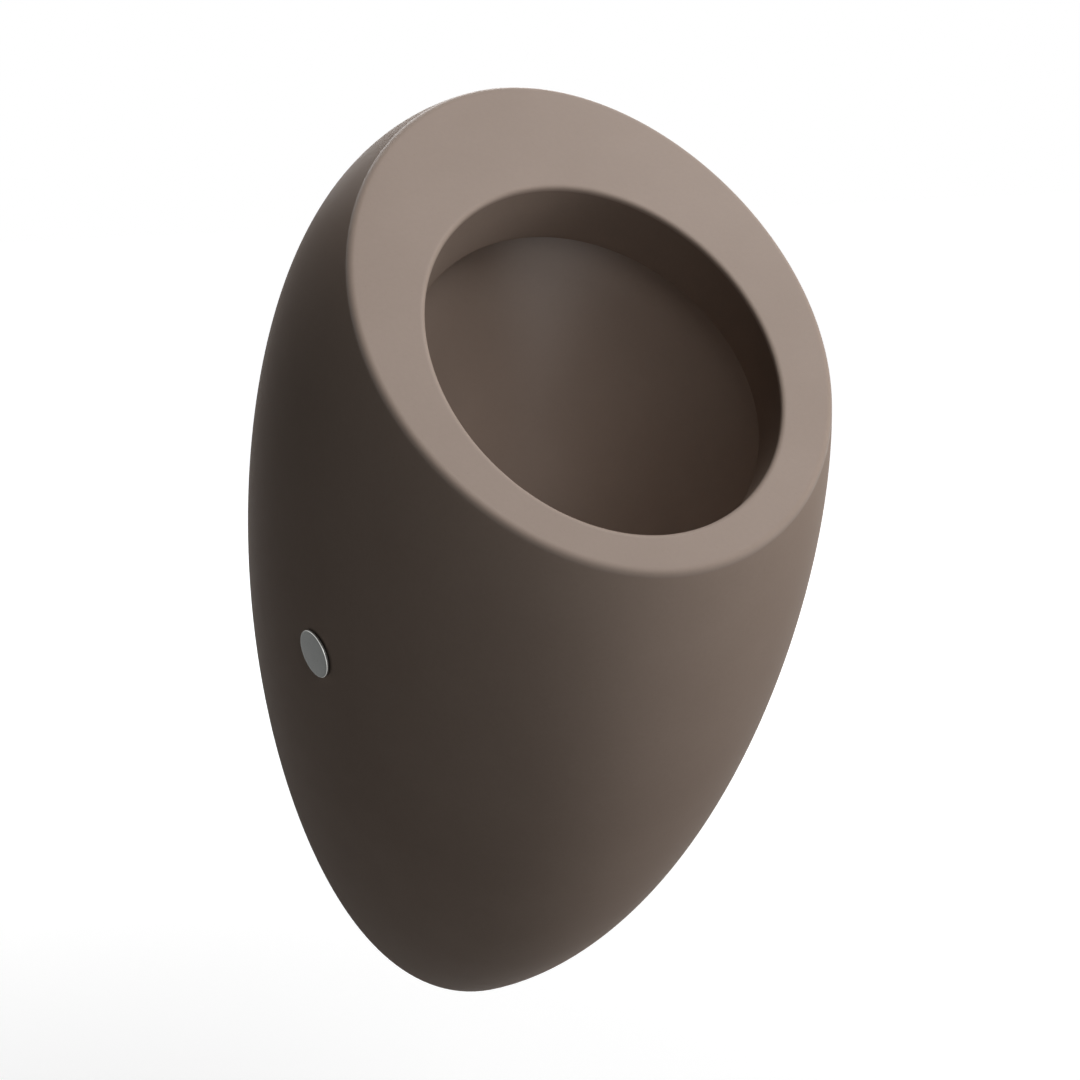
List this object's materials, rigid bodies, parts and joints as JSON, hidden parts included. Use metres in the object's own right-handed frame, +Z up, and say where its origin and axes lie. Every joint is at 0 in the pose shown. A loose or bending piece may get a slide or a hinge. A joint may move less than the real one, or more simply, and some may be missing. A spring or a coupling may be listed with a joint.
{
  "type": "wall hung urinal",
  "caption": "Egg shaped wall hung urinal in brown glazed ceramic with a slanting oval mouth, hidden trap, inlet and wall fixings, and steel cover caps on its flanks.",
  "frame": {"origin": "on the wall plane, midway between the two side brackets' wall screws", "axes": "+Z up, -Y out of the wall towards the user, +X to the right of someone facing the urinal"},
  "size_m": [0.31, 0.3492, 0.5931],
  "materials": {
    "glazed_ceramic": "satin brown glaze",
    "steel": "brushed",
    "zinc_steel": "zinc plated",
    "chrome": "polished",
    "brass": "machined",
    "rubber": "matt black",
    "dark_plastic": "moulded, matt",
    "pale_plastic": "moulded, satin"
  },
  "bodies": {
    "root": {"ceramic_body": "glazed_ceramic", "inlet_spud": "brass", "inlet_gasket": "rubber", "inlet_rear_gasket": "rubber", "inlet_lock_nut": "brass", "water_spreader": "chrome", "inlet_pipe": "steel", "inlet_pipe_seal": "rubber", "drain_flange": "steel", "drain_gasket": "rubber", "drain_lower_gasket": "rubber", "drain_lock_nut": "dark_plastic", "trap_body": "dark_plastic", "trap_seal_ring": "rubber", "outlet_pipe": "dark_plastic", "outlet_lip_seal": "rubber", "wall_cuff": "rubber", "bracket_left": "zinc_steel", "bracket_right": "zinc_steel", "side_bush_left": "pale_plastic", "side_bush_right": "pale_plastic", "wall_hooks": "zinc_steel", "hook_pads": "pale_plastic", "wall_screws": "zinc_steel", "wall_washers": "zinc_steel", "wall_plugs": "pale_plastic"},
    "left_cap": {"cap_left": "steel"},
    "right_cap": {"cap_right": "steel"},
    "left_screw": {"side_screw_left": "zinc_steel"},
    "right_screw": {"side_screw_right": "zinc_steel"},
    "lift_out_insert": {"trap_insert": "pale_plastic", "insert_o_ring": "rubber"},
    "lift_off_strainer": {"strainer": "steel"}
  },
  "joints": [
    {"name": "cap_left_pull", "type": "slide", "parent": "root", "child": "left_cap", "axis": [-0.9492, -0.2621, -0.174], "range_m": [0, 0.03]},
    {"name": "cap_right_pull", "type": "slide", "parent": "root", "child": "right_cap", "axis": [0.9492, -0.2621, -0.174], "range_m": [0, 0.03]},
    {"name": "side_screw_left_turn", "type": "hinge", "parent": "root", "child": "left_screw", "pos_m": [-0.14122, -0.131, 0], "axis": [-0.9492, -0.2621, -0.174], "continuous": true},
    {"name": "side_screw_right_turn", "type": "hinge", "parent": "root", "child": "right_screw", "pos_m": [0.14122, -0.131, 0], "axis": [0.9492, -0.2621, -0.174], "continuous": true},
    {"name": "insert_lift", "type": "slide", "parent": "root", "child": "lift_out_insert", "axis": [0, 0, 1], "range_m": [0, 0.13]},
    {"name": "strainer_lift", "type": "slide", "parent": "lift_out_insert", "child": "lift_off_strainer", "axis": [0, 0, 1], "range_m": [0, 0.06]}
  ]
}
